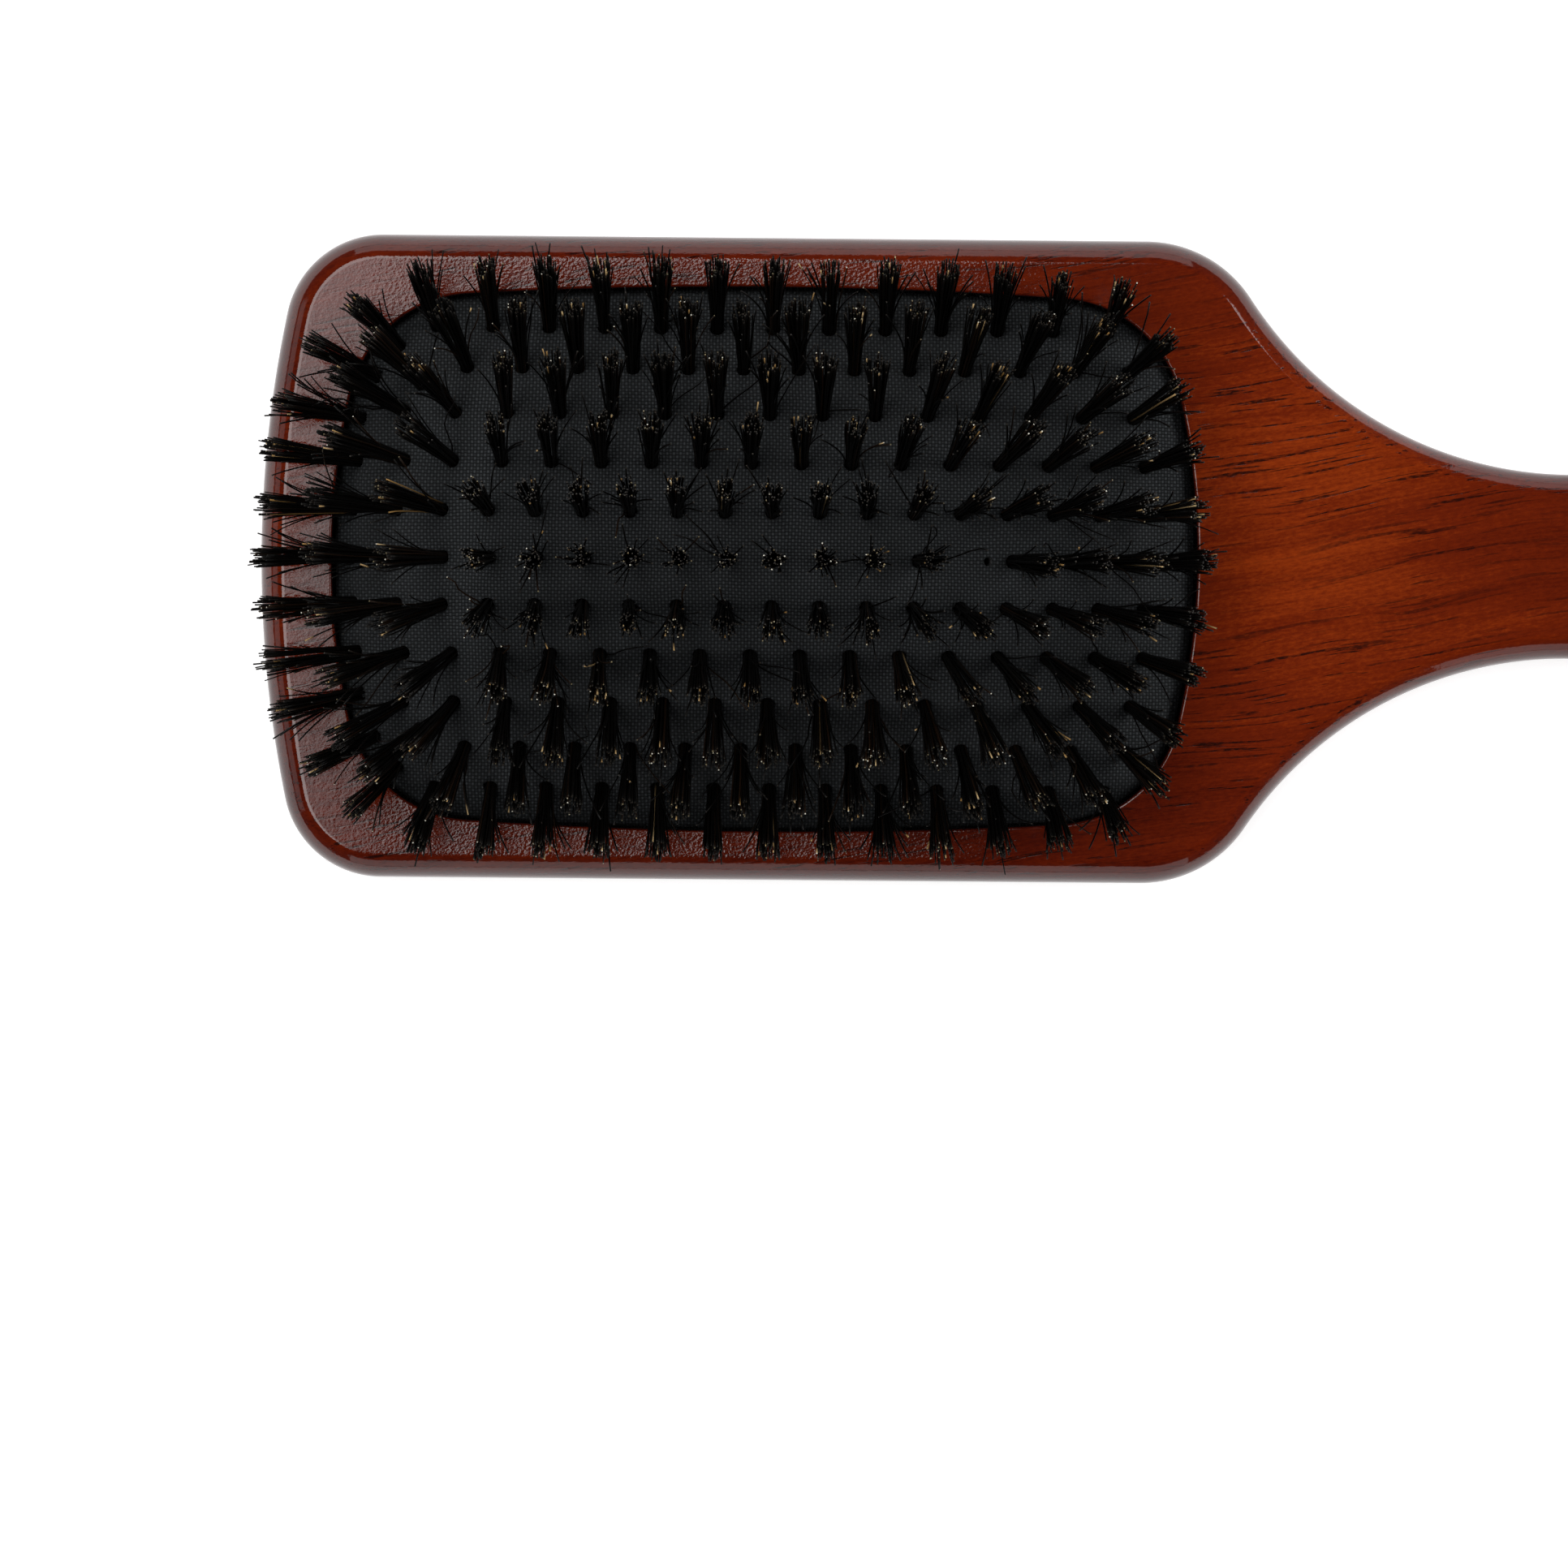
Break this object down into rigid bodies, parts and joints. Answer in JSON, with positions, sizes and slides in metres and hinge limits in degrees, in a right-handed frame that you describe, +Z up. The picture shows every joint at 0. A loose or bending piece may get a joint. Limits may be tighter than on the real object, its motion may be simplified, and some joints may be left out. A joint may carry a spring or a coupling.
{
  "type": "paddle hairbrush",
  "caption": "Wooden paddle hairbrush with a domed pneumatic cushion of woven cloth on rubber and rows of dark natural bristle tufts.",
  "frame": {"origin": "middle of the brush's length and width, on the flat back that it lies on", "axes": "+X from the toe of the paddle to the end of the handle, +Z up through the bristles, +Y to the left of someone looking from the toe along the handle"},
  "size_m": [0.25, 0.085, 0.0403],
  "materials": {
    "wood": "satin lacquer",
    "rubber": "matte",
    "fabric": "plain weave",
    "bristle": "dark natural bristle, slightly glossy",
    "wire": "drawn wire"
  },
  "bodies": {
    "root": {"wood_body": "wood", "cushion_rubber": "rubber", "cushion_fabric": "fabric", "edge_anchors": "wire"},
    "cushion_mid": {"mid_anchors": "wire"},
    "cushion_crown": {"crown_anchors": "wire"},
    "edge_row_1": {"edge_tufts_row_1": "bristle"},
    "edge_row_2": {"edge_tufts_row_2": "bristle"},
    "edge_row_3": {"edge_tufts_row_3": "bristle"},
    "edge_row_4": {"edge_tufts_row_4": "bristle"},
    "edge_row_5": {"edge_tufts_row_5": "bristle"},
    "edge_row_6": {"edge_tufts_row_6": "bristle"},
    "edge_row_7": {"edge_tufts_row_7": "bristle"},
    "edge_row_8": {"edge_tufts_row_8": "bristle"},
    "edge_row_9": {"edge_tufts_row_9": "bristle"},
    "edge_row_10": {"edge_tufts_row_10": "bristle"},
    "edge_row_11": {"edge_tufts_row_11": "bristle"},
    "mid_row_2": {"mid_tufts_row_2": "bristle"},
    "mid_row_3": {"mid_tufts_row_3": "bristle"},
    "mid_row_4": {"mid_tufts_row_4": "bristle"},
    "mid_row_5": {"mid_tufts_row_5": "bristle"},
    "mid_row_6": {"mid_tufts_row_6": "bristle"},
    "mid_row_7": {"mid_tufts_row_7": "bristle"},
    "mid_row_8": {"mid_tufts_row_8": "bristle"},
    "mid_row_9": {"mid_tufts_row_9": "bristle"},
    "mid_row_10": {"mid_tufts_row_10": "bristle"},
    "crown_row_3": {"crown_tufts_row_3": "bristle"},
    "crown_row_4": {"crown_tufts_row_4": "bristle"},
    "crown_row_5": {"crown_tufts_row_5": "bristle"},
    "crown_row_6": {"crown_tufts_row_6": "bristle"},
    "crown_row_7": {"crown_tufts_row_7": "bristle"},
    "crown_row_8": {"crown_tufts_row_8": "bristle"},
    "crown_row_9": {"crown_tufts_row_9": "bristle"}
  },
  "joints": [
    {"name": "cushion_press", "type": "slide", "parent": "root", "child": "cushion_crown", "axis": [0, 0, 1], "range_m": [-0.003, 0], "stiffness_N_per_m": 3000, "springref_m": 0.0004, "deforming": ["cushion_rubber", "cushion_fabric"]},
    {"name": "cushion_press_mid", "type": "slide", "parent": "root", "child": "cushion_mid", "axis": [0, 0, 1], "range_m": [-0.00135, 0], "stiffness_N_per_m": 3000, "springref_m": 0.00018},
    {"name": "tuft_lean", "type": "hinge", "parent": "cushion_crown", "child": "crown_row_6", "pos_m": [0, 0, 0.01836], "axis": [1, 0, 0], "range_deg": [-6, 6], "stiffness_Nm_per_rad": 0.05},
    {"name": "edge_lean_row_1", "type": "hinge", "parent": "root", "child": "edge_row_1", "pos_m": [0, -0.02779, 0.00729], "axis": [1, 0, 0], "range_deg": [-6, 6], "stiffness_Nm_per_rad": 0.05},
    {"name": "edge_lean_row_2", "type": "hinge", "parent": "root", "child": "edge_row_2", "pos_m": [0, -0.02342, 0.00822], "axis": [1, 0, 0], "range_deg": [-6, 6], "stiffness_Nm_per_rad": 0.05},
    {"name": "edge_lean_row_3", "type": "hinge", "parent": "root", "child": "edge_row_3", "pos_m": [0, -0.01792, 0.00833], "axis": [1, 0, 0], "range_deg": [-6, 6], "stiffness_Nm_per_rad": 0.05},
    {"name": "edge_lean_row_4", "type": "hinge", "parent": "root", "child": "edge_row_4", "pos_m": [0, -0.01222, 0.00851], "axis": [1, 0, 0], "range_deg": [-6, 6], "stiffness_Nm_per_rad": 0.05},
    {"name": "edge_lean_row_5", "type": "hinge", "parent": "root", "child": "edge_row_5", "pos_m": [0, -0.00603, 0.00851], "axis": [1, 0, 0], "range_deg": [-6, 6], "stiffness_Nm_per_rad": 0.05},
    {"name": "edge_lean_row_6", "type": "hinge", "parent": "root", "child": "edge_row_6", "pos_m": [0, 0, 0.00843], "axis": [1, 0, 0], "range_deg": [-6, 6], "stiffness_Nm_per_rad": 0.05},
    {"name": "edge_lean_row_7", "type": "hinge", "parent": "root", "child": "edge_row_7", "pos_m": [0, 0.00603, 0.00851], "axis": [1, 0, 0], "range_deg": [-6, 6], "stiffness_Nm_per_rad": 0.05},
    {"name": "edge_lean_row_8", "type": "hinge", "parent": "root", "child": "edge_row_8", "pos_m": [0, 0.01222, 0.00851], "axis": [1, 0, 0], "range_deg": [-6, 6], "stiffness_Nm_per_rad": 0.05},
    {"name": "edge_lean_row_9", "type": "hinge", "parent": "root", "child": "edge_row_9", "pos_m": [0, 0.01792, 0.00833], "axis": [1, 0, 0], "range_deg": [-6, 6], "stiffness_Nm_per_rad": 0.05},
    {"name": "edge_lean_row_10", "type": "hinge", "parent": "root", "child": "edge_row_10", "pos_m": [0, 0.02342, 0.00822], "axis": [1, 0, 0], "range_deg": [-6, 6], "stiffness_Nm_per_rad": 0.05},
    {"name": "edge_lean_row_11", "type": "hinge", "parent": "root", "child": "edge_row_11", "pos_m": [0, 0.02779, 0.00729], "axis": [1, 0, 0], "range_deg": [-6, 6], "stiffness_Nm_per_rad": 0.05},
    {"name": "mid_lean_row_2", "type": "hinge", "parent": "cushion_mid", "child": "mid_row_2", "pos_m": [0, -0.02286, 0.01134], "axis": [1, 0, 0], "range_deg": [-6, 6], "stiffness_Nm_per_rad": 0.05},
    {"name": "mid_lean_row_3", "type": "hinge", "parent": "cushion_mid", "child": "mid_row_3", "pos_m": [0, -0.01821, 0.01233], "axis": [1, 0, 0], "range_deg": [-6, 6], "stiffness_Nm_per_rad": 0.05},
    {"name": "mid_lean_row_4", "type": "hinge", "parent": "cushion_mid", "child": "mid_row_4", "pos_m": [0, -0.01205, 0.01354], "axis": [1, 0, 0], "range_deg": [-6, 6], "stiffness_Nm_per_rad": 0.05},
    {"name": "mid_lean_row_5", "type": "hinge", "parent": "cushion_mid", "child": "mid_row_5", "pos_m": [0, -0.00593, 0.01401], "axis": [1, 0, 0], "range_deg": [-6, 6], "stiffness_Nm_per_rad": 0.05},
    {"name": "mid_lean_row_6", "type": "hinge", "parent": "cushion_mid", "child": "mid_row_6", "pos_m": [0, 0, 0.01411], "axis": [1, 0, 0], "range_deg": [-6, 6], "stiffness_Nm_per_rad": 0.05},
    {"name": "mid_lean_row_7", "type": "hinge", "parent": "cushion_mid", "child": "mid_row_7", "pos_m": [0, 0.00593, 0.01401], "axis": [1, 0, 0], "range_deg": [-6, 6], "stiffness_Nm_per_rad": 0.05},
    {"name": "mid_lean_row_8", "type": "hinge", "parent": "cushion_mid", "child": "mid_row_8", "pos_m": [0, 0.01205, 0.01354], "axis": [1, 0, 0], "range_deg": [-6, 6], "stiffness_Nm_per_rad": 0.05},
    {"name": "mid_lean_row_9", "type": "hinge", "parent": "cushion_mid", "child": "mid_row_9", "pos_m": [0, 0.01821, 0.01233], "axis": [1, 0, 0], "range_deg": [-6, 6], "stiffness_Nm_per_rad": 0.05},
    {"name": "mid_lean_row_10", "type": "hinge", "parent": "cushion_mid", "child": "mid_row_10", "pos_m": [0, 0.02286, 0.01134], "axis": [1, 0, 0], "range_deg": [-6, 6], "stiffness_Nm_per_rad": 0.05},
    {"name": "crown_lean_row_3", "type": "hinge", "parent": "cushion_crown", "child": "crown_row_3", "pos_m": [0, -0.01794, 0.01467], "axis": [1, 0, 0], "range_deg": [-6, 6], "stiffness_Nm_per_rad": 0.05},
    {"name": "crown_lean_row_4", "type": "hinge", "parent": "cushion_crown", "child": "crown_row_4", "pos_m": [0, -0.01182, 0.01673], "axis": [1, 0, 0], "range_deg": [-6, 6], "stiffness_Nm_per_rad": 0.05},
    {"name": "crown_lean_row_5", "type": "hinge", "parent": "cushion_crown", "child": "crown_row_5", "pos_m": [0, -0.00579, 0.01805], "axis": [1, 0, 0], "range_deg": [-6, 6], "stiffness_Nm_per_rad": 0.05},
    {"name": "crown_lean_row_7", "type": "hinge", "parent": "cushion_crown", "child": "crown_row_7", "pos_m": [0, 0.00579, 0.01805], "axis": [1, 0, 0], "range_deg": [-6, 6], "stiffness_Nm_per_rad": 0.05},
    {"name": "crown_lean_row_8", "type": "hinge", "parent": "cushion_crown", "child": "crown_row_8", "pos_m": [0, 0.01182, 0.01673], "axis": [1, 0, 0], "range_deg": [-6, 6], "stiffness_Nm_per_rad": 0.05},
    {"name": "crown_lean_row_9", "type": "hinge", "parent": "cushion_crown", "child": "crown_row_9", "pos_m": [0, 0.01794, 0.01467], "axis": [1, 0, 0], "range_deg": [-6, 6], "stiffness_Nm_per_rad": 0.05}
  ],
  "couplings": [
    {"joint": "cushion_press_mid", "follows": "cushion_press", "ratio": 0.45},
    {"joint": "edge_lean_row_1", "follows": "tuft_lean", "ratio": 1},
    {"joint": "edge_lean_row_2", "follows": "tuft_lean", "ratio": 1},
    {"joint": "edge_lean_row_3", "follows": "tuft_lean", "ratio": 1},
    {"joint": "edge_lean_row_4", "follows": "tuft_lean", "ratio": 1},
    {"joint": "edge_lean_row_5", "follows": "tuft_lean", "ratio": 1},
    {"joint": "edge_lean_row_6", "follows": "tuft_lean", "ratio": 1},
    {"joint": "edge_lean_row_7", "follows": "tuft_lean", "ratio": 1},
    {"joint": "edge_lean_row_8", "follows": "tuft_lean", "ratio": 1},
    {"joint": "edge_lean_row_9", "follows": "tuft_lean", "ratio": 1},
    {"joint": "edge_lean_row_10", "follows": "tuft_lean", "ratio": 1},
    {"joint": "edge_lean_row_11", "follows": "tuft_lean", "ratio": 1},
    {"joint": "mid_lean_row_2", "follows": "tuft_lean", "ratio": 1},
    {"joint": "mid_lean_row_3", "follows": "tuft_lean", "ratio": 1},
    {"joint": "mid_lean_row_4", "follows": "tuft_lean", "ratio": 1},
    {"joint": "mid_lean_row_5", "follows": "tuft_lean", "ratio": 1},
    {"joint": "mid_lean_row_6", "follows": "tuft_lean", "ratio": 1},
    {"joint": "mid_lean_row_7", "follows": "tuft_lean", "ratio": 1},
    {"joint": "mid_lean_row_8", "follows": "tuft_lean", "ratio": 1},
    {"joint": "mid_lean_row_9", "follows": "tuft_lean", "ratio": 1},
    {"joint": "mid_lean_row_10", "follows": "tuft_lean", "ratio": 1},
    {"joint": "crown_lean_row_3", "follows": "tuft_lean", "ratio": 1},
    {"joint": "crown_lean_row_4", "follows": "tuft_lean", "ratio": 1},
    {"joint": "crown_lean_row_5", "follows": "tuft_lean", "ratio": 1},
    {"joint": "crown_lean_row_7", "follows": "tuft_lean", "ratio": 1},
    {"joint": "crown_lean_row_8", "follows": "tuft_lean", "ratio": 1},
    {"joint": "crown_lean_row_9", "follows": "tuft_lean", "ratio": 1}
  ]
}
